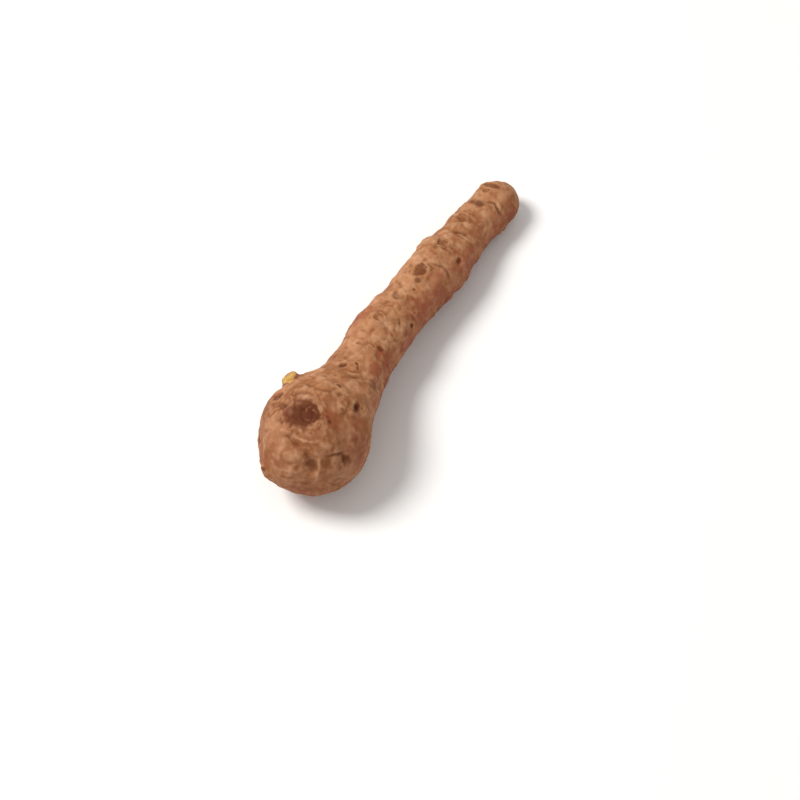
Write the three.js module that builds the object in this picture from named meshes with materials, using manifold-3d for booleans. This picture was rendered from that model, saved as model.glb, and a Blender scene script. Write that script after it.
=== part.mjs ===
// A fresh turmeric root, as it is dug up: one rhizome that grew as a single piece.
// A round mother bulb runs on into one long, nearly straight finger. Rings left by old leaf
// scales cross both, with bud scars and root scars between them. A side finger was snapped off
// at the bulb's shoulder, which left a short stub, and a big shoot scar sits on top of the bulb.
// The root lies on the bulb's underside and on the finger's end.
// Millimetres, +Z up, the finger along +X, with the surface that it lies on at Z = 0 and the
// origin there, under the middle of the root.
//
// "Along" is a distance from the bulb's round end, measured down the middle of the root.
// "Around" is an angle about that middle line, from the top towards the -Y side, in degrees.

import * as THREE from "three";
import { mergeVertices } from "three/addons/utils/BufferGeometryUtils.js";
import Module from "manifold-3d";

const wasm = await Module();
wasm.setup();

// Overall size.
const ROOT_LENGTH = 138.3;
const BULB_RADIUS = 17.2;
const BULB_END = 18.8; // how far along the bulb's round end reaches its full girth
const TIP_RADIUS = 7.6;
const TIP_LENGTH = 9.5; // how much of the finger's end is rounded over

// How fine the skin is cut into faces.
const SIDES = 48;
const ROWS = 110;

// The girth between the bulb's full width and the tip, as [along, radius].
const GIRTH = [
  [25, 16.7],
  [31, 14.9],
  [37, 12.0],
  [43, 10.1],
  [51, 9.2],
  [59, 9.5],
  [67, 9.1],
  [74, 8.5],
  [83, 8.9],
  [91, 9.2],
  [98, 9.1],
  [105, 8.1],
  [112, 7.8],
  [119, 7.7],
];

// The middle line, as [x, y, z], from the bulb's round end to the finger's tip.
const MIDDLE = [
  [-67.9, -0.4, 16.4],
  [-49.1, -0.4, 16.8],
  [-35.7, 0.3, 16.1],
  [-24.7, 2.0, 15.0],
  [-10.7, 4.3, 13.9],
  [6.3, 4.8, 12.7],
  [22.3, 5.0, 11.2],
  [34.3, 5.1, 9.9],
  [44.3, 5.3, 8.7],
  [54.3, 4.6, 7.5],
  [69.6, 3.8, 6.7],
];

// Broad swellings, and hollows where the height is negative.
const SWELLINGS = [
  { along: 31, around: 84, spread: 7, height: -2.4 }, // the neck's flattened side
  { along: 34.5, around: 104, spread: 4, height: -1.1 },
  { along: 0.2, around: 0, spread: 7, height: 0.6 },
  { along: 0.6, around: -74, spread: 3, height: 1.2 },
  { along: 7, around: -72, spread: 5.5, height: -1.9 },
  { along: 14.5, around: 107, spread: 5, height: 0.6 },
  { along: 19, around: -66, spread: 5, height: 0.8 },
  { along: 4, around: 12, spread: 5, height: 0.9 },
  { along: 6, around: 38, spread: 4, height: -0.9 },
  { along: 12.5, around: 36, spread: 4, height: 0.6 },
  { along: 10, around: 84, spread: 6, height: 0.6 },
  { along: 94.5, around: -68, spread: 4.5, height: -0.5 },
  { along: 101, around: -68, spread: 2.2, height: 0.4 },
  { along: 131, around: -68, spread: 4, height: -0.5 },
  { along: 96, around: 108, spread: 5, height: 0.5 },
  { along: 127, around: 104, spread: 6, height: 0.5 },
  { along: 12, around: 165, spread: 8, height: -0.6 },
  { along: 33, around: -140, spread: 7, height: 0.9 },
  { along: 64, around: 170, spread: 6, height: -0.5 },
];

// Rings of old leaf scales, as [along, lean, height]. A ring leans towards the tip on the -Y side.
const RINGS = [
  [9.5, 1.2, 0.2],
  [22.4, -1.5, 0.2],
  [28.6, 2.0, 0.22],
  [34.6, 1.2, 0.25],
  [40.6, 1.0, 0.25],
  [46.6, 0.6, 0.28],
  [53.6, 0.8, 0.25],
  [61.8, -0.6, 0.28],
  [70.8, 0.7, 0.28],
  [79.4, 0.4, 0.25],
  [88.6, 0.2, 0.35],
  [97.2, 0.9, 0.25],
  [105.3, 1.4, 0.32],
  [113.4, 1.0, 0.28],
  [121.4, 1.8, 0.4],
  [129.6, 1.0, 0.25],
];
const RING_WIDTH = 1.25;
const RING_GROOVE = 0.6; // the depth of the groove behind a ring, as a share of its height
const RING_WAVER = 0.5; // how far a ring strays to either side of its plane
const RING_FADE = 0.45; // how much lower a ring is where it has worn away

// Scars of buds, shoots and roots: a dish with a raised rim, by the rim's radius.
const SCARS = [
  { along: 15.4, around: -5, radius: 5.6, depth: 1.2, rim: 0.6 }, // the big shoot scar
  { along: 24.4, around: 12, radius: 4.8, depth: -0.6, rim: 0.4 }, // a healed, domed shoot scar
  { along: 27.1, around: 36, radius: 1.8, depth: 0.9, rim: 0.3 },
  { along: 19.8, around: -50, radius: 2.4, depth: 0.5, rim: 0.35 },
  { along: 14.6, around: 60, radius: 3.2, depth: 0.5, rim: 0.35 },
  { along: 6.2, around: 38, radius: 2.4, depth: 0.6, rim: 0.2 },
  { along: 40.8, around: 60, radius: 2.8, depth: 0.6, rim: 0.3 },
  { along: 49.2, around: 34, radius: 1.9, depth: 0.4, rim: 0.4 },
  { along: 60.6, around: -9, radius: 2.0, depth: 0.4, rim: 0.4 },
  { along: 72.0, around: -5, radius: 2.2, depth: 0.5, rim: 0.5 },
  { along: 84.0, around: 0, radius: 2.5, depth: 0.8, rim: 0.65 },
  { along: 96.6, around: 48, radius: 2.1, depth: 0.5, rim: 0.3 },
  { along: 98.0, around: -6, radius: 2.6, depth: 0.4, rim: 0.4 },
  { along: 111.6, around: -15, radius: 2.5, depth: 0.6, rim: 0.5 },
  { along: 129.4, around: -24, radius: 3.0, depth: 0.5, rim: 0.3 },
];
const RIM_WIDTH = 0.4; // as shares of a scar's radius
const DISH_WIDTH = 0.65;

// More scars on the sides that face away, drawn between these limits.
const HIDDEN_SCARS = { seed: 41, count: 14, around: [118, 278], radius: [1.8, 2.7], end: 10 };
const HIDDEN_RELIEF = { depth: [0.4, 0.8], rim: [0.3, 0.5] };

// Gentle lumps all over, as waves that cross each other in seeded directions.
const LUMPS = { seed: 7, count: 18, length: [10, 32], height: 0.075 };

// The stub of the snapped side finger. It stands on the skin and leans up.
const STUB = { along: 28, around: -64, foot: 3.9, neck: 2.5, height: 2.2, sunk: 4, lean: [0.1, 0.5, 0.5] };
const STUB_SIDES = 18;

const FLOOR_REACH = 200; // the side of the block that flattens the two resting spots
const JOIN_DISTANCE = 1e-3; // corners nearer than this are one corner

const draw = THREE.MathUtils.seededRandom;
const drawBetween = ([low, high]) => low + (high - low) * draw();

// The outline of one side, as points [radius, distance along]: bulb end, girth, round tip.
function profile() {
  const tipStart = ROOT_LENGTH - TIP_LENGTH;
  const path = new THREE.Path();
  path.moveTo(0, 0);
  path.absellipse(BULB_END, 0, BULB_END, BULB_RADIUS, Math.PI, Math.PI / 2, true, 0);
  path.splineThru([...GIRTH, [tipStart, TIP_RADIUS]].map((p) => new THREE.Vector2(...p)));
  path.absellipse(tipStart, 0, TIP_LENGTH, TIP_RADIUS, Math.PI / 2, 0, true, 0);
  return path.getSpacedPoints(ROWS).map((p) => new THREE.Vector2(Math.max(p.y, 0), p.x));
}

const outline = profile();
const middleLine = new THREE.CatmullRomCurve3(MIDDLE.map((p) => new THREE.Vector3(...p)));

function radiusAt(along) {
  const next = outline.findIndex((p, i) => i > 0 && p.y >= along);
  const [a, b] = [outline[next - 1], outline[next]];
  return THREE.MathUtils.mapLinear(along, a.y, b.y, a.x, b.x);
}

// The place on the bare form at a distance along and an angle around, or at another radius there.
function skinPoint(along, around, radius = radiusAt(along)) {
  const share = THREE.MathUtils.clamp(along / ROOT_LENGTH, 0, 1);
  const forward = middleLine.getTangentAt(share);
  const side = new THREE.Vector3(0, 0, 1).cross(forward).normalize();
  const up = forward.clone().cross(side);
  const turn = THREE.MathUtils.degToRad(around);
  return middleLine
    .getPointAt(share)
    .addScaledVector(up, radius * Math.cos(turn))
    .addScaledVector(side, -radius * Math.sin(turn));
}

const placed = (feature) => ({ ...feature, point: skinPoint(feature.along, feature.around) });

function hiddenScars() {
  const { seed, count, around, radius, end } = HIDDEN_SCARS;
  const spacing = (ROOT_LENGTH - 2 * end) / count;
  draw(seed);
  return Array.from({ length: count }, (_, i) => ({
    along: end + spacing * (i + draw()),
    around: drawBetween(around),
    radius: drawBetween(radius),
    depth: drawBetween(HIDDEN_RELIEF.depth),
    rim: drawBetween(HIDDEN_RELIEF.rim),
  }));
}

function crossingWaves() {
  draw(LUMPS.seed);
  return Array.from({ length: LUMPS.count }, () => ({
    direction: new THREE.Vector3(draw() - 0.5, draw() - 0.5, draw() - 0.5).normalize(),
    length: drawBetween(LUMPS.length),
    start: 2 * Math.PI * draw(),
  }));
}

const swellings = SWELLINGS.map(placed);
const scars = [...SCARS, ...hiddenScars()].map(placed);
const waves = crossingWaves();

const hump = (offset, width) => Math.exp(-((offset / width) ** 2));

// A ring is a low ridge, worn in places, with a shallower groove on its bulb side.
function ringRelief(along, around) {
  const turn = THREE.MathUtils.degToRad(around);
  return RINGS.reduce((sum, [at, lean, height]) => {
    const waver = RING_WAVER * Math.sin(3 * turn + at);
    const offset = along - at - lean * Math.sin(turn) - waver;
    const groove = RING_GROOVE * hump(offset + 1.6 * RING_WIDTH, RING_WIDTH);
    const worn = 1 - RING_FADE * (0.5 + 0.5 * Math.sin(2 * turn + 3 * at));
    return sum + worn * height * (hump(offset, RING_WIDTH) - groove);
  }, 0);
}

function scarRelief(point) {
  return scars.reduce((sum, scar) => {
    const reach = point.distanceTo(scar.point) / scar.radius;
    return sum + scar.rim * hump(reach - 1, RIM_WIDTH) - scar.depth * hump(reach, DISH_WIDTH);
  }, 0);
}

function lumpRelief(point) {
  return waves.reduce((sum, wave) => {
    const phase = (2 * Math.PI * point.dot(wave.direction)) / wave.length;
    return sum + LUMPS.height * Math.sin(phase + wave.start);
  }, 0);
}

function relief(along, around, point) {
  const broad = swellings.reduce(
    (sum, s) => sum + s.height * hump(point.distanceTo(s.point), s.spread),
    0,
  );
  return broad + ringRelief(along, around) + scarRelief(point) + lumpRelief(point);
}

function onlyPositions(geometry) {
  geometry.deleteAttribute("normal");
  geometry.deleteAttribute("uv");
  return mergeVertices(geometry, JOIN_DISTANCE);
}

// The whole skin as one closed surface: turned, bent along the middle line, then raised by the
// relief along its own normals.
function skin() {
  const body = onlyPositions(new THREE.LatheGeometry(outline, SIDES));
  const at = body.getAttribute("position");
  const places = [];
  for (let i = 0; i < at.count; i++) {
    const along = at.getY(i);
    const around = THREE.MathUtils.radToDeg(Math.atan2(at.getX(i), at.getZ(i)));
    const point = skinPoint(along, around, Math.hypot(at.getX(i), at.getZ(i)));
    places.push({ along, around, point });
    at.setXYZ(i, point.x, point.y, point.z);
  }
  body.computeVertexNormals();
  const normals = body.getAttribute("normal");
  places.forEach(({ along, around, point }, i) => {
    const normal = new THREE.Vector3().fromBufferAttribute(normals, i);
    point.addScaledVector(normal, relief(along, around, point));
    at.setXYZ(i, point.x, point.y, point.z);
  });
  return onlyPositions(body);
}

// The stub: flared where it grows out of the bulb, waisted, and broken off nearly flat.
function stub() {
  const { foot, neck, height, sunk } = STUB;
  const path = new THREE.Path();
  path.moveTo(0, -sunk);
  path.lineTo(foot, -sunk);
  path.lineTo(foot, -height * 0.2);
  path.quadraticCurveTo(neck, height * 0.2, neck, height * 0.85);
  path.lineTo(neck * 0.95, height);
  path.lineTo(0, height * 0.92);
  const turned = onlyPositions(new THREE.LatheGeometry(path.getPoints(4), STUB_SIDES));
  const upright = new THREE.Vector3(0, 1, 0);
  const lean = new THREE.Vector3(...STUB.lean).normalize();
  turned.applyQuaternion(new THREE.Quaternion().setFromUnitVectors(upright, lean));
  return turned.translate(...skinPoint(STUB.along, STUB.around));
}

function solidOf(geometry) {
  const closed = onlyPositions(geometry);
  return new wasm.Manifold(
    new wasm.Mesh({
      numProp: 3,
      vertProperties: new Float32Array(closed.attributes.position.array),
      triVerts: new Uint32Array(closed.index.array),
    }),
  );
}

function geometryOf(solid) {
  const { vertProperties, triVerts } = solid.getMesh();
  return new THREE.BufferGeometry()
    .setAttribute("position", new THREE.BufferAttribute(vertProperties, 3))
    .setIndex(new THREE.BufferAttribute(triVerts, 1));
}

const belowFloor = new THREE.BoxGeometry(FLOOR_REACH, FLOOR_REACH, FLOOR_REACH);
belowFloor.translate(0, 0, -FLOOR_REACH / 2);

const rhizome = solidOf(skin()).add(solidOf(stub())).subtract(solidOf(belowFloor));
const rootSkin = new THREE.MeshStandardMaterial({ color: 0xa06a46, roughness: 0.8, metalness: 0 });
const root = new THREE.Mesh(geometryOf(rhizome), rootSkin);
root.name = "turmeric_root";

export default new THREE.Group().add(root);
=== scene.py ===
import math
import random

import bmesh
import bpy
import numpy as np
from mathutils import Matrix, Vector, noise


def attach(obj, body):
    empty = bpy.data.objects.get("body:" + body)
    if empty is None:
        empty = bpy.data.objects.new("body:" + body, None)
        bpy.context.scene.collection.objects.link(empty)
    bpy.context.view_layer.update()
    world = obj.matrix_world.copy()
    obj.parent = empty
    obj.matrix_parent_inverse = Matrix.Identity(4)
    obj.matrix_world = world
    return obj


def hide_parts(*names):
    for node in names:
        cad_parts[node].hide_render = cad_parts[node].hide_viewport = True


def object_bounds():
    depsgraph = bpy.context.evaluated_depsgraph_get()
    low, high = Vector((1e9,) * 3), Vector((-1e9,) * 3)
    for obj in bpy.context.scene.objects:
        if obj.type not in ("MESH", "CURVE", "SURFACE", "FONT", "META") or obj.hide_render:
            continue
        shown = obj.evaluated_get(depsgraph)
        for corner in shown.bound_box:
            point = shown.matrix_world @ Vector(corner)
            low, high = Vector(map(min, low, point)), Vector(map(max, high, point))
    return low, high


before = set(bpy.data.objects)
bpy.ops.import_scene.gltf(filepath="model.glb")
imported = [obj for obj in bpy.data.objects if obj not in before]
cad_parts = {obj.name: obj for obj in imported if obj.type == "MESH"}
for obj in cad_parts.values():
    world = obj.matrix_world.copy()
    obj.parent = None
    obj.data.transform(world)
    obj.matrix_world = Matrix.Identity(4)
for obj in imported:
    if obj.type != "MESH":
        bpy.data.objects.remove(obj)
cad_low, cad_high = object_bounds()

# The rhizome: one piece of firm, juicy tissue, a round mother bulb that grew on into a long
# finger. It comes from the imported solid: merged, rounded and cut into an even, fine skin, so
# that the relief below can be raised on it.
MM = 0.001
JOIN_DISTANCE = 0.002 * MM
FLAT_ANGLE = 0.4  # radians between two triangles that become one face
SQUARENESS = 0.9  # how far such a face may be from a square, in radians
ROUNDING_LEVELS = 2
SKIN_CELL = 0.38 * MM  # the side of one face of the skin
SETTLE_SHARE = 0.5
SETTLE_ROUNDS = 4

solid = bmesh.new()
solid.from_mesh(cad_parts["turmeric_root"].data)
bmesh.ops.remove_doubles(solid, verts=solid.verts, dist=JOIN_DISTANCE)
bmesh.ops.join_triangles(
    solid, faces=solid.faces, angle_face_threshold=FLAT_ANGLE, angle_shape_threshold=SQUARENESS
)
form = bpy.data.meshes.new("rhizome_form")
solid.to_mesh(form)
solid.free()

rhizome = bpy.data.objects.new("rhizome", form)
bpy.context.scene.collection.objects.link(rhizome)
rounding = rhizome.modifiers.new("rounding", "SUBSURF")
rounding.levels = rounding.render_levels = ROUNDING_LEVELS
even = rhizome.modifiers.new("even cells", "REMESH")
even.mode = "VOXEL"
even.voxel_size = SKIN_CELL
even.use_smooth_shade = True
settle = rhizome.modifiers.new("settle", "SMOOTH")
settle.factor = SETTLE_SHARE
settle.iterations = SETTLE_ROUNDS

finished = rhizome.evaluated_get(bpy.context.evaluated_depsgraph_get())
skin = bpy.data.meshes.new_from_object(finished)
rhizome.modifiers.clear()
rhizome.data = skin
skin.name = "rhizome_skin"

count = len(skin.vertices)
points = np.empty(count * 3)
skin.vertices.foreach_get("co", points)
points = points.reshape(-1, 3) / MM
normals = np.empty(count * 3)
skin.vertices.foreach_get("normal", normals)
normals = normals.reshape(-1, 3)

# Each point has a place on the root: how far down its length it is, in millimetres along X, and
# the angle about the root's middle, in degrees from the top towards the -Y side. The middle is
# the centre of the root's cross-sections.
SECTION = 2.0  # how thick a slice of the root gives one cross-section
BLUNT = 4.0  # nearer to an end than this, the cross-section is the last full one
NECK_START = -38.0  # where the bulb begins to narrow
NECK_LENGTH = 14.0

down = points[:, 0]
stations = np.arange(down.min() + BLUNT, down.max() - BLUNT, SECTION / 2)
middle = np.array([points[np.abs(down - x) < SECTION / 2].mean(axis=0) for x in stations])
middle_y = np.interp(down, stations, middle[:, 1])
middle_z = np.interp(down, stations, middle[:, 2])
turn = np.arctan2(middle_y - points[:, 1], points[:, 2] - middle_z)
degrees = np.degrees(turn)
girth = np.hypot(points[:, 1] - middle_y, points[:, 2] - middle_z)
bulb = 1 - np.clip((down - NECK_START) / NECK_LENGTH, 0, 1)

# The marks are drawn with soft noise and with distances from places on the skin. Each adds to
# the height of the skin, in millimetres, and to the strengths of its colours.
SEED = 11
NOISE_FADE = 0.9  # how fast the finer layers of the noise grow weaker
NOISE_STEP = 2.0  # how many times finer each layer is than the one before
PEBBLE_STRAY = 0.45  # how far the edges of the pebbles waver, in pebble sizes

noise.seed_set(SEED)  # noise_vector shifts by this seed, or else by the clock
lift = np.zeros(count)
# The stain layer holds real stains and a few patches of painted shade.
stain_and_shade = np.zeros(count)
red = np.zeros(count)
pale = np.zeros(count)
purple = np.zeros(count)


def tint(layer, strength):
    """Raises a layer of colour to a strength, where it is weaker than that."""
    np.maximum(layer, strength, out=layer)


def hump(offset, width):
    """1 in the middle, falling softly to 0 on both sides."""
    return np.exp(-((offset / width) ** 2))


def rise(value, start, end):
    """0 below start, 1 above end and smooth between them."""
    share = np.clip((value - start) / (end - start), 0, 1)
    return share * share * (3 - 2 * share)


def cloud(size, octaves, shift, stretch=(1, 1, 1)):
    """Soft noise at every point, about -1 to 1, with patches of that size in millimetres."""
    scaled = points / (size * np.array(stretch)) + shift + SEED
    return np.array([noise.fractal(point, NOISE_FADE, NOISE_STEP, octaves) for point in scaled])


def pebbles(size, shift):
    """How far each point is from the edge of its pebble, in pebble sizes, with wavering edges."""
    scaled = [Vector(point) for point in points / size + shift + SEED]
    strayed = [point + PEBBLE_STRAY * noise.noise_vector(0.9 * point) for point in scaled]
    near = np.array([noise.voronoi(point)[0][:2] for point in strayed])
    return near[:, 1] - near[:, 0]


ragged = 0.6 * cloud(2.6, 2, 1.3) + 0.5 * cloud(1.0, 2, 5.3)


def spot(x, around):
    """The skin's nearest point to a place, and its directions outward, down the root and across."""
    aim = math.radians(around)
    apart = (turn - aim + math.pi) % (2 * math.pi) - math.pi
    nearest = np.argmin((down - x) ** 2 + (girth * apart) ** 2)
    outward = normals[nearest]
    forward = np.array([1.0, 0, 0]) - outward[0] * outward
    forward /= np.linalg.norm(forward)
    return points[nearest], outward, forward, np.cross(outward, forward)


def reach_from(x, around, length, width, tatter=0.3):
    """How far each point is from a place, in radii of an oval with a ragged edge."""
    centre, outward, forward, across = spot(x, around)
    offset = points - centre
    level = np.hypot(offset @ forward / length, offset @ across / width)
    above_skin = np.abs(offset @ outward) / (3 * max(length, width))
    return (level + above_skin) * (1 + tatter * ragged)


def distance_to(places):
    """How far each point is from a line through places, and how far down that line."""
    stops = [spot(*place)[0] for place in places]
    best = np.full(count, np.inf)
    share = np.zeros(count)
    for i, (start, end) in enumerate(zip(stops, stops[1:])):
        along = end - start
        part = np.clip((points - start) @ along / (along @ along), 0, 1)
        away = np.linalg.norm(points - start - part[:, None] * along, axis=1)
        closer = away < best
        best[closer] = away[closer]
        share[closer] = (i + part[closer]) / (len(stops) - 1)
    return best, share


# Rings: the dry edges of old leaf scales, which crossed the root once for every joint that it
# grew. Each is a thin ridge with a groove behind it, and it fades and frays on its way round.
# A ring is [x, how far it leans towards the tip on the -Y side, height].
RINGS = [
    [-58.6, 1.2, 0.05], [-45.6, -1.5, 0.05], [-39.4, 2.0, 0.06], [-33.4, 1.2, 0.1],
    [-27.4, 1.0, 0.1], [-21.6, 0.6, 0.12], [-14.8, 0.8, 0.1], [-6.6, -0.6, 0.12],
    [2.4, 0.7, 0.12], [11.2, 0.4, 0.1], [20.6, 0.2, 0.14], [29.2, 0.9, 0.12],
    [37.3, 1.4, 0.16], [45.4, 1.0, 0.12], [54.4, 1.8, 0.18], [61.6, 1.0, 0.1],
]
RIDGE_WIDTH = 0.45
GROOVE_BEHIND = 0.8
RING_WAVER = 1.3
FAINT_LINES = (-2.3, 1.6, 3.1)  # thinner lines beside each ring, as distances from it
FAINT_WIDTH = 0.3
FAINT_DEPTH = 0.03
FAINT_STAIN = 0.12

waver = cloud(8, 2, 3.1)
fray = cloud(4.5, 3, 7.7)
for x, lean, height in RINGS:
    offset = down - x - lean * np.sin(turn) - RING_WAVER * waver
    strength = rise(fray + 0.3 * np.sin(turn * 2 + x), -0.2, 0.45)
    groove = hump(offset + GROOVE_BEHIND, RIDGE_WIDTH)
    lift += height * strength * (hump(offset, RIDGE_WIDTH) - 0.9 * groove)
    tint(stain_and_shade, 3 * height * strength * groove)
    for line in FAINT_LINES:
        faint = hump(offset - line + 0.5 * ragged, FAINT_WIDTH) * rise(-fray, 0.0, 0.4)
        lift -= FAINT_DEPTH * faint
        tint(stain_and_shade, FAINT_STAIN * faint)

# Rubbed skin: smooth, reddish patches where the dry outer layer has come off, and the -Y flank,
# which lost most of it; the flank's blush is partly painted shade as well. A patch is [x, around,
# half length, half width, strength].
RUBBED = [
    [44.0, 38, 6.0, 4.5, 0.3], [17.6, 38, 4.2, 3.2, 0.55], [-49.3, 23, 2.6, 3.0, 0.7],
    [-16.6, 47, 4.6, 4.0, 0.8], [-21.5, 40, 4.0, 3.0, 0.7], [-44.5, 52, 5.0, 4.0, 0.5],
    [-50.0, 72, 7.0, 5.0, 0.5], [30.0, 40, 5.0, 4.0, 0.45], [6.0, 48, 5.5, 4.0, 0.45],
    [-65.0, 80, 5.0, 9.0, 0.25], [60.0, 60, 4.5, 4.0, 0.1], [-7.0, -48, 8.0, 5.0, 0.45],
]
FLANK = (18, 105)  # the angles over which the flank's blush comes in
UNDERSIDE = (160, 180)  # the angles over which it goes out again
BULB_BLUSH = 0.3  # how much of the blush the bulb has
SMOOTHED = 0.7  # how much of the fine relief is gone where the skin is rubbed

paper = cloud(5.5, 4, 45.0)
for x, around, length, width, strength in RUBBED:
    tint(red, strength * (1 - rise(reach_from(x, around, length, width, 0.5), 0.4, 1.25)))
# The -Y flank's blush: reddish skin, partly painted shade.
flank = rise(degrees + 14 * waver + 5 * paper, *FLANK) * (1 - rise(degrees, *UNDERSIDE))
blush_and_shade = flank * (1 - (1 - BULB_BLUSH) * bulb)
rubbed = np.clip(1.3 * np.maximum(red, 0.9 * blush_and_shade), 0, 1)
rough = 1 - SMOOTHED * rubbed

# Skin between the rings: lumps of the flesh under it, pebbles where it dried and shrank, fine
# wrinkles that run round the root, and the edges of the papery outer layer where it wore off.
LUMP_HEIGHT = 0.36
KNOT_HEIGHT = 0.21
WRINKLE_HEIGHT = 0.022
PEBBLE_HEIGHT = 0.27
SMALL_PEBBLE_HEIGHT = 0.02
PAPER_THICKNESS = 0.06
PEBBLE_STAIN = 0.24
SMALL_PEBBLE_STAIN = 0.04
DRY_BULB = 0.3
DRY_BELTS = [[-14, 16, 0.7], [31, 4, 0.5]]  # [x, half length, how much more it shrank there]

lumps = cloud(6.5, 3, 21.0)
knots = cloud(2.8, 2, 24.0)
wrinkles = cloud(1.6, 3, 33.0, (0.45, 1.2, 1.2))
pebble = pebbles(3.8, 3.0)
small_pebble = pebbles(1.7, 9.0)
dryness = cloud(13, 2, 27.0) + DRY_BULB * bulb
for x, length, more in DRY_BELTS:
    dryness += more * hump(down - x, length)
shrunk = rough * rise(dryness, -0.2, 0.9)
worn = rise(paper, -0.2, 0.3)

lift += LUMP_HEIGHT * lumps + rough * (KNOT_HEIGHT * knots + WRINKLE_HEIGHT * wrinkles)
lift += PEBBLE_HEIGHT * shrunk * (rise(pebble, -0.1, 0.6) - 0.5)
lift += SMALL_PEBBLE_HEIGHT * shrunk * (rise(small_pebble, -0.1, 0.6) - 0.5)
lift -= PAPER_THICKNESS * worn
tint(stain_and_shade, PEBBLE_STAIN * shrunk * (1 - rise(pebble, 0.0, 0.35)))
tint(stain_and_shade, SMALL_PEBBLE_STAIN * shrunk * (1 - rise(small_pebble, 0.0, 0.25)))

# Folds and creases of the skin, where the root swelled or dried unevenly. Each runs along a line
# of places, as [height, width, stain, places]. The sides that face away have short ones, drawn
# at random.
FOLDS = [
    [0.28, 0.6, 0.0, [(-45.7, -31), (-44.7, -24), (-43.7, -16)]],
    [-0.3, 0.4, 0.7, [(-46.7, -28), (-45.5, -20), (-44.9, -11)]],
    [0.2, 0.5, 0.0, [(-43.1, -33), (-41.9, -26), (-41.5, -19)]],
    [-0.2, 0.35, 0.5, [(-42.4, -33), (-42.6, -26), (-42.2, -19)]],
    [0.34, 0.55, 0.0, [
        (-59.3, -27), (-58.8, -16), (-59.2, -7), (-59.0, 2), (-58.8, 12), (-57.6, 22), (-55.2, 27),
    ]],
    [-0.3, 0.5, 0.6, [(-60.4, -22), (-60.0, -9), (-60.6, 2), (-60.0, 13)]],
    [0.3, 0.7, 0.0, [(-58.4, 35), (-60.3, 45), (-62.3, 53), (-63.6, 67)]],
    [-0.35, 0.5, 0.8, [(-58.0, 43), (-56.0, 48), (-53.9, 54), (-54.2, 63), (-53.4, 69)]],
    [0.25, 0.5, 0.0, [(-57.2, 42), (-55.0, 47), (-52.6, 53)]],
    [-0.22, 0.6, 0.45, [(-68.0, -15), (-67.8, 10), (-67.2, 32), (-66.3, 50)]],
    [0.25, 0.6, 0.0, [(-67.4, -20), (-67.0, 5), (-66.2, 27)]],
    [-0.2, 0.4, 0.5, [(-60.3, 77), (-58.1, 80), (-55.7, 92)]],
    [-0.2, 0.4, 0.4, [(-61.8, 70), (-60.0, 86), (-58.0, 98)]],
    [0.24, 0.5, 0.0, [(56.1, -1), (57.2, 18), (56.8, 34), (56.1, 50)]],
    [-0.4, 0.5, 1.0, [(54.5, -1), (55.5, 8), (56.2, 19), (55.8, 29), (55.1, 42), (55.0, 58)]],
    [-0.55, 1.0, 1.2, [(54.2, -50), (53.0, -34), (52.5, -20), (53.0, -9), (55.2, 4)]],
    [-0.36, 0.75, 1.0, [(36.6, -14), (38.3, -1), (38.9, 12), (38.5, 33)]],
    [0.1, 0.3, 0.0, [(34.7, 10), (37.0, 27), (39.7, 46), (43.7, 66)]],
    [-0.32, 0.55, 0.8, [(21.3, 5), (21.7, 16), (22.9, 26), (22.6, 41), (21.8, 57)]],
    [0.26, 0.5, 0.0, [(-24.8, -34), (-21.9, -28), (-19.3, -17), (-15.2, -2)]],
    [-0.22, 0.4, 0.5, [(-25.2, -28), (-22.6, -20), (-20.2, -8)]],
    [-0.3, 0.35, 1.0, [(-24.3, 1), (-26.9, 9)]],
    [0.28, 0.45, 0.0, [(-30.5, 1), (-28.9, 10), (-27.4, 20)]],
    [-0.22, 0.4, 0.6, [(-32.5, 2), (-30.3, 14), (-28.8, 21)]],
    [-0.22, 0.4, 0.6, [(-4.8, 18), (-2.0, 30), (-4.4, 41), (-7.2, 47)]],
    [-0.2, 0.35, 0.5, [(6.9, 10), (7.4, 20), (6.6, 33)]],
]
HIDDEN_FOLDS = 46
BULB_FOLD_SPAN = 0.55  # folds turn through a smaller angle on the thick bulb

draw = random.Random(SEED)
folds = list(FOLDS)
for i in range(HIDDEN_FOLDS):
    x = draw.uniform(-64, 62)
    around = draw.uniform(85, 310)
    bend = draw.uniform(-1.6, 1.6)
    span = draw.uniform(14, 34) * (BULB_FOLD_SPAN if x < -30 else 1)
    places = [(x, around), (x + bend, around + span / 2), (x + draw.uniform(-1, 1), around + span)]
    folds.append([-draw.uniform(0.15, 0.3), draw.uniform(0.35, 0.5), draw.uniform(0.4, 0.8), places])
for height, width, darkness, places in folds:
    away, share = distance_to(places)
    taper = rise(share, -0.1, 0.3) * (1 - rise(share, 0.7, 1.1))
    line = taper * hump(away + 0.3 * ragged, 1.25 * width)
    lift += 0.8 * height * line
    tint(stain_and_shade, 0.65 * darkness * line)
    # The raised crests are painted paler: a painted highlight along the folds.
    crest = taper * hump(away + 0.6 * ragged, 0.6 * width) * rise(knots + ragged, -0.7, 0.3)
    tint(pale, 2.2 * max(height, 0) * crest)

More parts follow.
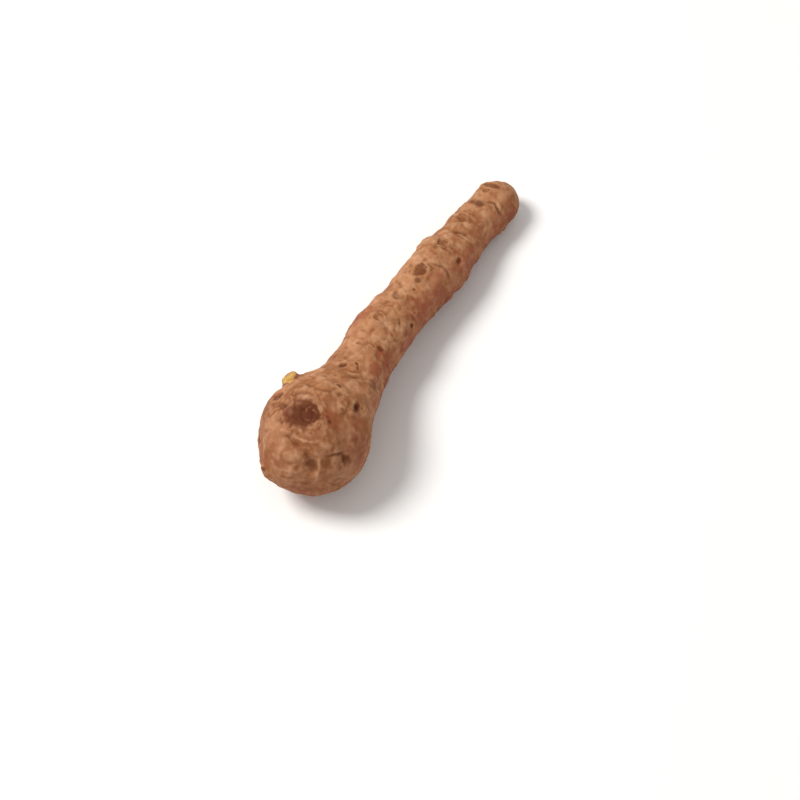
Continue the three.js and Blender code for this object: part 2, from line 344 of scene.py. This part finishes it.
# Knobs and hollows of the skin, as [x, around, radius, height].
KNOBS = [
    [-55.6, 37, 1.2, 0.4], [-53.0, 38, 0.9, 0.15], [-56.3, 30, 0.9, 0.2], [-54.2, 46, 0.9, 0.15],
    [-42.9, 35, 1.0, 0.4], [-63.6, 8, 2.6, 0.4], [-61.7, 39, 2.2, -0.45], [-60.9, 25, 1.6, -0.35],
    [-59.3, 49, 2.4, -0.2], [7.9, 12, 1.2, 0.2], [8.7, 24, 1.1, 0.2], [9.3, 40, 1.2, 0.2],
    [5.8, 28, 1.4, 0.25], [-3.4, 29, 1.4, 0.2], [-4.5, 47, 1.4, 0.2], [-19.1, -20, 1.3, 0.22],
    [-18.7, 4, 1.2, 0.2], [-21.0, 4, 1.1, 0.2], [53.6, -18, 1.7, 0.4], [20.2, -31, 1.8, 0.2],
    [-5.3, -15, 1.1, 0.2], [-9.0, -10, 1.2, 0.2], [34.4, -14, 0.8, 0.25], [33.1, 7, 0.8, 0.25],
    [-49.8, -25, 1.5, 0.25], [-47.5, -12, 1.4, 0.2], [-67.6, -67, 0.9, 0.6],
]
KNOB_PALE = 0.9
HOLLOW_STAIN = 1.6

for x, around, radius, height in KNOBS:
    shape = hump(reach_from(x, around, radius, radius, 0.2), 1)
    lift += height * shape
    tint(pale, KNOB_PALE * max(height, 0) * shape)
    tint(stain_and_shade, HOLLOW_STAIN * max(-height, 0) * shape)

# Scars: where buds, shoots and roots grew. A scar is a corky dish in a low, broken rim, with the
# pits of the strands that fed what stood there. Each is [x, around, half length, half width,
# dish, rim height, stain].
SCARS = [
    [-49.0, -52, 2.2, 1.9, 0.3, 0.15, 0.7],
    [-53.8, 64, 1.7, 2.6, 0.2, 0.12, 0.5],
    [-24.6, 1, 0.8, 0.8, 0.35, 0.08, 0.9],
    [-27.5, -20, 1.7, 1.5, 0.15, 0.1, 0.8],
    [-14.6, 34, 0.9, 1.6, 0.2, 0.12, 0.6],
    [-17.7, -15, 0.8, 1.3, 0.1, 0.08, 0.5],
    [0.3, 60, 1.0, 0.9, 0.3, 0.08, 0.85],
    [10.2, 10, 0.6, 0.6, 0.15, 0.05, 0.6],
    [29.6, 46, 1.3, 1.2, 0.25, 0.08, 0.6],
    [30.6, -4, 2.2, 3.4, 0.2, 0.15, 0.55],
]
HIDDEN_SCARS = 15  # more of them, drawn at random over the sides that face away
HIDDEN_DISH = 0.25
HIDDEN_RIM = 0.18
PIT_DEPTH = 0.12

scars = list(SCARS)
for i in range(HIDDEN_SCARS):
    x = -61 + (i + draw.random()) * 122 / HIDDEN_SCARS
    size = draw.uniform(1.0, 2.2)
    wide = size * draw.uniform(0.9, 1.5)
    around = draw.uniform(100, 285)
    scars.append([x, around, size, wide, HIDDEN_DISH, HIDDEN_RIM, draw.uniform(0.5, 1)])
broken = 0.45 + 0.55 * rise(ragged, -0.3, 0.4)
strands = rise(small_pebble, 0.05, 0.4)
for x, around, length, width, dish, height, darkness in scars:
    reach = reach_from(x, around, length, width, 0.45)
    inside = 1 - rise(reach, 0.45, 1.2)
    lift += 0.7 * height * broken * hump(reach - 1.15, 0.3) - dish * inside
    lift -= PIT_DEPTH * inside * (1 - strands) * min(1, length / 1.5)
    tint(stain_and_shade, darkness * inside * (1.1 - 0.45 * strands))
    tint(pale, 1.6 * height * broken * hump(reach - 1.2, 0.25))

# One deep, narrow hole on the bulb's side, where a root rotted away, as [x, around, half length,
# half width].
HOLE = [-39.6, 38, 2.1, 1.3]
HOLE_DEPTH = 0.5

hole = hump(reach_from(*HOLE, 0.05), 0.8)
lift -= HOLE_DEPTH * hole
tint(stain_and_shade, 2 * hole)

# Dormant buds: smooth, flat discs, each in a thin, darker ring, as [x, around, half length, half
# width, stain of the disc, stain of the ring].
BUDS = [
    [17.9, -4, 2.1, 2.2, 0.8, 1.0], [15.6, -13, 1.6, 1.8, 0.1, 0.25],
    [44.9, -10, 1.4, 3.5, 0.4, 0.55], [62.0, -21, 1.3, 3.2, 0.7, 0.8],
    [59.0, -20, 1.2, 1.3, 0.25, 0.5], [5.2, -6, 1.8, 2.0, 0.35, 0.55],
    [-6.0, -6, 1.5, 1.7, 0.35, 0.6], [31.0, -5, 1.3, 1.9, 0.35, 0.5],
]
BUD_RIM = 0.16
BUD_DISH = 0.12
BUD_GROOVE = 0.1

mottle = 0.75 + 0.25 * rise(knots, -0.5, 0.5)
for x, around, length, width, disc, ring in BUDS:
    reach = reach_from(x, around, length, width, 0.28)
    inside = 1 - rise(reach, 0.65, 1.15)
    edge = hump(reach - 0.9, 0.28) * rise(ragged + 0.4 * knots, -0.45, 0.45)
    lift += BUD_RIM * hump(reach - 1.3, 0.3) - BUD_DISH * inside - BUD_GROOVE * edge
    stain_and_shade *= 1 - 0.6 * inside
    tint(stain_and_shade, disc * mottle * inside)
    tint(stain_and_shade, ring * edge)

# The big shoot scar on top of the bulb: a ragged, purple-brown patch round a core of low rings.
# A smooth, paler disc lies beside it, where an older shoot healed over. Each is [x, around, half
# length, half width].
SHOOT_SCAR = [-52.3, -10, 6.0, 7.4]
SHOOT_CORE = [-51.2, 2, 3.3, 3.3]
HEALED_SHOOT = [-43.3, 14, 4.1, 4.5]
CORE_RING_HEIGHT = 0.2
SHOOT_DISH = 0.12
SHOOT_RIM = 0.12
SHOOT_PEBBLES = 0.22
HEALED_HEIGHT = 0.2

shoot = reach_from(*SHOOT_SCAR, 0.6)
core = reach_from(*SHOOT_CORE, 0.3)
inside = 1 - rise(shoot, 0.5, 1.3)
near_core = 1 - rise(core, 0.8, 2.0)
crumbs = rise(ragged + 0.6 * cloud(1.8, 2, 61.0), -0.6, 0.5)
circles = np.cos(core * 11 + 3.5 * knots + 2 * ragged) * crumbs
crest = rise(circles, 0.2, 1) * (1 - rise(core, 0.9, 1.2))
blotches = rise(ragged + knots, -0.5, 0.5)
lift += CORE_RING_HEIGHT * circles * (1 - rise(core, 0.9, 1.3)) - SHOOT_DISH * inside
lift += SHOOT_RIM * hump(shoot - 1.1, 0.2) * rise(ragged, -0.2, 0.5)
lift += SHOOT_PEBBLES * inside * (rise(pebble, 0.0, 0.5) - 0.6)
tint(purple, inside * (0.4 + 0.35 * blotches + 0.35 * near_core - 0.5 * crest))
tint(stain_and_shade, (1 - rise(core, 0.7, 1.5)) * (0.9 - 0.6 * circles))
tint(stain_and_shade, 0.6 * inside * (1 - rise(pebble, 0.0, 0.3)))

healed = reach_from(*HEALED_SHOOT, 0.15)
lift += HEALED_HEIGHT * (1 - rise(healed, 0.85, 1.1))
tint(pale, 0.12 * (1 - rise(healed, 0.7, 1.1)))
tint(stain_and_shade, 0.35 * hump(healed - 1.1, 0.12) * rise(ragged, -0.3, 0.3))

# Stains that lie flat in the skin, with a few patches of painted shade and one of painted light
# among them, as [x, around, half length, half width, strength].
BROWN_STAINS_AND_SHADE = [
    [-27.8, 46, 2.6, 2.0, 0.6], [-52.4, -32, 1.6, 1.8, 0.7], [-61.7, 39, 2.6, 2.4, 0.6],
    # The patches at -35.4 near the hole, and at -24.0 and -12.0 beside the neck, are painted shade.
    [-35.4, 40, 3.4, 3.0, 0.4], [-24.0, -42, 5.5, 4.0, 0.35], [-12.0, -46, 6.0, 3.5, 0.2],
    [-59.3, 49, 2.2, 2.2, 0.4], [-41.5, 4, 1.1, 0.8, 0.65], [-37.0, 8, 0.8, 1.2, 0.95],
    [-39.8, 15, 0.9, 0.9, 0.55], [-45.8, 8, 0.8, 0.8, 0.5], [-40.4, 22, 0.8, 0.8, 0.5],
    [-59.6, -6, 1.2, 1.0, 0.6], [-39.7, -54, 0.6, 0.6, 0.8], [13.4, 5, 1.0, 1.5, 0.7],
    [-49.6, 22, 0.8, 0.9, 0.8], [32.5, -6, 0.9, 1.1, 0.55], [27.6, -12, 0.9, 0.9, 0.5],
    [-67.9, -66, 0.8, 1.0, 0.9], [29.2, 8, 1.0, 1.4, 0.5], [53.0, -20, 1.3, 3.4, 0.6],
    [53.0, -10, 1.3, 2.2, 0.9],
]
PALE_STAINS_AND_LIGHT = [
    [20.6, -24, 2.2, 2.6, 0.8], [34.4, -12, 1.5, 2.0, 0.6], [-46.7, -16, 1.6, 3.0, 0.6],
    [-66.0, 16, 1.6, 1.8, 0.5], [-22.0, -6, 2.5, 3.2, 0.4], [60.6, 20, 2.6, 3.0, 0.3],
    # The patch at -55.5, low on the bulb's -Y side, is painted light.
    [-58.5, -40, 4.0, 4.0, 0.35], [-55.5, 78, 5.0, 4.5, 0.45],
]
for layer, stains in ((stain_and_shade, BROWN_STAINS_AND_SHADE), (pale, PALE_STAINS_AND_LIGHT)):
    for x, around, length, width, strength in stains:
        tint(layer, strength * (1 - rise(reach_from(x, around, length, width, 0.5), 0.35, 1.35)))

# Small dots: the scars of thin roots, scattered all over but closest together near the rings.
DOTS = 170
DOT_SPREAD = 2.6  # how far the dots stray from a ring
DOT_RIM = 0.06

for i in range(DOTS):
    x = draw.choice(RINGS)[0] + draw.gauss(0, DOT_SPREAD)
    size = draw.uniform(0.3, 0.7)
    reach = reach_from(x, draw.uniform(-180, 180), size, size * draw.uniform(0.8, 1.4))
    depth = draw.uniform(-0.05, 0.18)
    lift += DOT_RIM * hump(reach - 1.2, 0.4) - depth * hump(reach, 0.7)
    tint(stain_and_shade, draw.uniform(0.1, 0.55) * hump(reach, 0.75))

# The stub: a side finger was snapped off here. Its break shows the yellow flesh, rough and
# fibrous, inside a torn edge of skin.
STUB_BREAK = (-40.04, 15.8, 24.88)  # the middle of the broken face
STUB_LEAN = np.array([0.1, 0.5, 0.5]) / math.hypot(0.1, 0.5, 0.5)
STUB_FRONT = np.array([-0.46, -0.58, 0.67])  # the side on which the skin tore lower
STUB_RADIUS = 3.0
GRAIN_HEIGHT = 0.35
FLESH_DEPTH = 0.2
TORN_EDGE_HEIGHT = 0.15
TORN_EDGE_STAIN = 0.6

offset = points - STUB_BREAK
height = offset @ STUB_LEAN
flat = np.linalg.norm(offset - np.outer(height, STUB_LEAN), axis=1)
torn = height + 0.3 * (offset @ STUB_FRONT) + 0.35 * ragged
flesh = (1 - rise(flat, STUB_RADIUS, STUB_RADIUS + 0.3)) * rise(torn, -0.45, -0.2)
torn_edge = (1 - rise(flat, STUB_RADIUS + 0.3, STUB_RADIUS + 0.8)) * hump(torn + 0.8, 0.3)
lift += flesh * (GRAIN_HEIGHT * cloud(0.8, 2, 71.0) - FLESH_DEPTH)
lift += TORN_EDGE_HEIGHT * torn_edge
tint(stain_and_shade, TORN_EDGE_STAIN * torn_edge)
stain_and_shade[flesh > 0.5] = 0

# All the marks are raised on the skin. The relief is then drawn in to the solid's own box, so
# that the root keeps its exact size.
points += normals * lift[:, None]
points[:, 2] = np.maximum(points[:, 2], 0)
box_low, box_high = np.array(cad_low) / MM, np.array(cad_high) / MM
share = (points - points.min(axis=0)) / (points.max(axis=0) - points.min(axis=0))
points = box_low + share * (box_high - box_low)
skin.vertices.foreach_set("co", (points * MM).ravel())
skin.update()

# The hollows are darker, partly for dirt and dry skin that gather there and partly as painted
# shade, and ridges are rubbed pale. Both come from how far each point lies below or above its
# neighbours. The bulb is browner, partly for its older skin and partly as painted shade, and the
# finger's lower side is darkened with painted shade.
HOLLOW_ROUNDS = 8  # how many faces away the neighbours are looked for
HOLLOW_DEPTH = 0.12  # how deep a hollow is that counts in full
OLD_AND_SHADED_END = (-54, -34)  # where down the root the bulb's browner skin ends: older skin and painted shade
LOWER_SIDE = (45, 100)  # the angles from the top over which the lower side's painted shade begins

edges = np.empty(len(skin.edges) * 2, dtype=np.int64)
skin.edges.foreach_get("vertices", edges)
one, other = edges.reshape(-1, 2).T
links = np.bincount(one, minlength=count) + np.bincount(other, minlength=count)


def neighbours(values):
    """The mean of each point's neighbours."""
    total = np.bincount(one, values[other], count) + np.bincount(other, values[one], count)
    return total / links


wide = points.copy()
for i in range(HOLLOW_ROUNDS):
    wide = np.stack([neighbours(wide[:, axis]) for axis in range(3)], axis=1)
hollow = np.clip(np.einsum("ij,ij->i", wide - points, normals) / HOLLOW_DEPTH, -1, 1)
# The bulb's browner skin: its older skin, and partly painted shade.
age_and_shade = 1 - rise(down + 3 * waver, *OLD_AND_SHADED_END)
# Painted shade on the finger's lower side.
lower_shade = rise(np.abs(degrees - 10) + 10 * waver, *LOWER_SIDE) * (1 - bulb)

for name, values in {
    "stain_and_shade": stain_and_shade,
    "red": red,
    "pale": pale,
    "purple": purple,
    "worn": worn,
    "hollow": 0.5 + 0.5 * hollow,
    "blush_and_shade": blush_and_shade,
    "rubbed": rubbed,
    "age_and_shade": age_and_shade,
    "lower_shade": lower_shade,
    "flesh": flesh,
}.items():
    layer = skin.attributes.new(name, "FLOAT", "POINT")
    layer.data.foreach_set("value", np.clip(values, 0, 2).astype(np.float32))

# The skin's finish: thin, dry and matte, tan to golden brown, with reddish patches where the
# outer layer is rubbed off, and dark cork in the scars, rings and hollows. Painted shade darkens
# the hollows, the bulb, the finger's lower side and its -Y flank, and a painted highlight
# lightens the folds' crests.
TAN = "#af7953"
GOLD = "#966039"
PALE = "#c69571"
RED = "#975035"
BROWN = "#542606"
PURPLE = "#602f18"
CORK = "#480f02"
# The dark brown of the bulb's older skin, also used for painted shade on the bulb and the finger's
# lower side.
OLD_SKIN_AND_SHADE = "#642d14"
FLESH = "#ba8b40"
FLESH_PALE = "#c8a66a"
ROUGHNESS = (0.6, 0.8)
GLOSS = 0.14
GRAIN_STRENGTH = 0.24
GRAIN_DEPTH = 0.2 * MM


def paint(code):
    """A colour for the shader from its usual six-digit code."""
    shown = [int(code[i : i + 2], 16) / 255 for i in (1, 3, 5)]
    light = [tone / 12.92 if tone <= 0.04045 else ((tone + 0.055) / 1.055) ** 2.4 for tone in shown]
    return light + [1.0]


class Finish:
    """A material under construction, with short ways to place the nodes that it is made of."""

    def __init__(self, name):
        self.material = bpy.data.materials.new(name)
        self.material.use_nodes = True
        self.tree = self.material.node_tree
        self.shader = self.tree.nodes["Principled BSDF"]

    def add(self, kind, **settings):
        made = self.tree.nodes.new(kind)
        for name, value in settings.items():
            setattr(made, name, value)
        return made

    def plug(self, socket, value):
        """Sets a socket to a number or a colour code, or links another node's output to it."""
        if hasattr(value, "links"):
            self.tree.links.new(value, socket)
        else:
            socket.default_value = paint(value) if isinstance(value, str) else value

    def attribute(self, name):
        return self.add("ShaderNodeAttribute", attribute_name=name).outputs["Fac"]

    def clouds(self, place, size, detail, roughness, distortion=0.0):
        """Noise with patches of that size in millimetres."""
        made = self.add("ShaderNodeTexNoise")
        self.plug(made.inputs["Vector"], place)
        self.plug(made.inputs["Scale"], 1 / (size * MM))
        self.plug(made.inputs["Detail"], detail)
        self.plug(made.inputs["Roughness"], roughness)
        self.plug(made.inputs["Distortion"], distortion)
        return made.outputs["Fac"]

    def between(self, value, low, high, start, end):
        """Turns low to high of a value into start to end, smoothly."""
        made = self.add("ShaderNodeMapRange", interpolation_type="SMOOTHSTEP")
        for socket, number in zip(made.inputs, (value, low, high, start, end)):
            self.plug(socket, number)
        return made.outputs["Result"]

    def maths(self, operation, first, second):
        made = self.add("ShaderNodeMath", operation=operation)
        self.plug(made.inputs[0], first)
        self.plug(made.inputs[1], second)
        return made.outputs["Value"]

    def coat(self, ground, colour, value, low, high, strongest=1.0, share=None):
        """Lays a colour over a ground, from nothing at low of a value to strongest at high."""
        amount = self.between(value, low, high, 0.0, strongest)
        if share is not None:
            amount = self.maths("MULTIPLY", amount, share)
        made = self.add("ShaderNodeMix", data_type="RGBA")
        self.plug(made.inputs["Factor"], amount)
        self.plug(made.inputs["A"], ground)
        self.plug(made.inputs["B"], colour)
        return made.outputs["Result"]


finish = Finish("turmeric skin")
place = finish.add("ShaderNodeTexCoord").outputs["Object"]
broad = finish.clouds(place, 9, 3, 0.55)
medium = finish.clouds(place, 3.4, 3, 0.5, 0.2)
fine = finish.clouds(place, 1.1, 4, 0.65)
speck = finish.clouds(place, 0.5, 3, 0.6)
hollows = finish.attribute("hollow")
stained_and_shaded = finish.attribute("stain_and_shade")
whole = finish.between(finish.attribute("rubbed"), 0.0, 1.0, 1.0, 0.25)
bare = finish.maths("MULTIPLY", finish.attribute("worn"), 0.25)
# The blush carries painted shade on the -Y flank along with its reddish skin.
flush = finish.maths("ADD", finish.attribute("blush_and_shade"), finish.attribute("red"))
patches = finish.between(medium, 0.5, 0.34, 0.0, 0.55)
reddish = finish.maths("ADD", patches, finish.maths("ADD", bare, flush))

colour = finish.coat(TAN, GOLD, broad, 0.38, 0.62)
colour = finish.coat(colour, PALE, medium, 0.48, 0.7, 0.62, whole)
colour = finish.coat(colour, RED, reddish, 0.1, 1.5, 0.95)
colour = finish.coat(colour, BROWN, fine, 0.5, 0.72, 0.14, whole)
colour = finish.coat(colour, PALE, speck, 0.56, 0.75, 0.08)
# The bulb browner: older skin, partly painted shade.
colour = finish.coat(colour, OLD_SKIN_AND_SHADE, finish.attribute("age_and_shade"), 0.0, 1.0, 0.33)
# Painted shade on the finger's lower side.
colour = finish.coat(colour, OLD_SKIN_AND_SHADE, finish.attribute("lower_shade"), 0.0, 1.0, 0.42)
# Darker in the hollows, for dirt and as painted shade; paler on the ridges, where the skin is rubbed.
colour = finish.coat(colour, BROWN, hollows, 0.55, 0.95, 0.36)
colour = finish.coat(colour, PALE, hollows, 0.42, 0.1, 0.22)
# Pale marks, among them painted highlights on the fold crests and a patch of painted light low on the
# bulb.
colour = finish.coat(colour, PALE, finish.attribute("pale"), 0.0, 1.0, 0.75)
colour = finish.coat(colour, PURPLE, finish.attribute("purple"), 0.0, 1.0, 0.95)
# The stain layer also carries patches of painted shade beside the neck and near the hole.
colour = finish.coat(colour, BROWN, stained_and_shaded, 0.05, 0.9, 0.75)
colour = finish.coat(colour, CORK, stained_and_shaded, 0.7, 2.0, 0.9)
yellow = finish.coat(FLESH, FLESH_PALE, fine, 0.4, 0.65)
colour = finish.coat(colour, yellow, finish.attribute("flesh"), 0.3, 0.7)
finish.plug(finish.shader.inputs["Base Color"], colour)
finish.plug(finish.shader.inputs["Roughness"], finish.between(medium, 0.3, 0.7, *ROUGHNESS))
finish.plug(finish.shader.inputs["Specular IOR Level"], GLOSS)

grain = finish.add("ShaderNodeBump")
finish.plug(grain.inputs["Strength"], GRAIN_STRENGTH)
finish.plug(grain.inputs["Distance"], GRAIN_DEPTH)
relief = finish.maths("ADD", finish.maths("MULTIPLY", fine, 0.6), finish.maths("MULTIPLY", speck, 0.4))
finish.plug(grain.inputs["Height"], relief)
finish.plug(finish.shader.inputs["Normal"], grain.outputs["Normal"])
skin.materials.append(finish.material)

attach(rhizome, "root")
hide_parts("turmeric_root")

# The surface that the root lies on: a plain, pale, matte sheet, wide enough to fill the whole
# picture.
FLOOR_SIDE = 6.0
FLOOR_COLOUR = "#f4f2ef"
FLOOR_ROUGHNESS = 0.8

floor_mesh = bpy.data.meshes.new("floor")
sheet = bmesh.new()
bmesh.ops.create_grid(sheet, x_segments=1, y_segments=1, size=FLOOR_SIDE / 2)
sheet.to_mesh(floor_mesh)
sheet.free()
floor = bpy.data.objects.new("floor", floor_mesh)
bpy.context.scene.collection.objects.link(floor)
floor_finish = Finish("pale surface")
floor_finish.plug(floor_finish.shader.inputs["Base Color"], FLOOR_COLOUR)
floor_finish.plug(floor_finish.shader.inputs["Roughness"], FLOOR_ROUGHNESS)
floor_mesh.materials.append(floor_finish.material)

# The camera looks down on the root from the bulb's end, as in the photograph. It stands so that
# the bulb's centre falls on the pixel where the photograph has it.
LENS = 85.0
SENSOR = 36.0
PICTURE = 800
AZIMUTH = math.radians(-56)
ELEVATION = math.radians(60)
BULB_CENTRE = Vector((-0.0491, -0.0004, 0.0168))
BULB_PIXEL = (316, 436)
METRES_PER_PIXEL = 0.000305

right = Vector((math.cos(AZIMUTH), math.sin(AZIMUTH), 0))
ahead = Vector(
    (
        -math.sin(AZIMUTH) * math.cos(ELEVATION),
        math.cos(AZIMUTH) * math.cos(ELEVATION),
        -math.sin(ELEVATION),
    )
)
above = right.cross(ahead)
distance = METRES_PER_PIXEL * PICTURE * LENS / SENSOR
camera_data = bpy.data.cameras.new("camera")
camera_data.lens = LENS
camera_data.sensor_width = SENSOR
camera = bpy.data.objects.new("camera", camera_data)
camera.location = (
    BULB_CENTRE
    - distance * ahead
    - (BULB_PIXEL[0] - PICTURE / 2) * METRES_PER_PIXEL * right
    - (PICTURE / 2 - BULB_PIXEL[1]) * METRES_PER_PIXEL * above
)
camera.rotation_mode = "QUATERNION"
camera.rotation_quaternion = ahead.to_track_quat("-Z", "Y")
bpy.context.scene.collection.objects.link(camera)
bpy.context.scene.camera = camera

# Light: a large soft lamp above the picture's left edge, which points at the origin, and a pale
# surround that fills the shadows.
LAMP_PLACE = Vector((-0.3, 0.6, 1.0))
LAMP_SIDE = 0.5
LAMP_POWER = 12.4
SURROUND_STRENGTH = 0.56

lamp_data = bpy.data.lights.new("key", "AREA")
lamp_data.shape = "DISK"
lamp_data.size = LAMP_SIDE
lamp_data.energy = LAMP_POWER
lamp = bpy.data.objects.new("key", lamp_data)
lamp.location = LAMP_PLACE
lamp.rotation_mode = "QUATERNION"
lamp.rotation_quaternion = (-LAMP_PLACE).to_track_quat("-Z", "Y")
bpy.context.scene.collection.objects.link(lamp)

world = bpy.data.worlds.new("surround")
bpy.context.scene.world = world
world.use_nodes = True
background = world.node_tree.nodes["Background"]
background.inputs["Color"].default_value = (1.0, 1.0, 1.0, 1.0)
background.inputs["Strength"].default_value = SURROUND_STRENGTH
bpy.context.scene.view_settings.view_transform = "Standard"
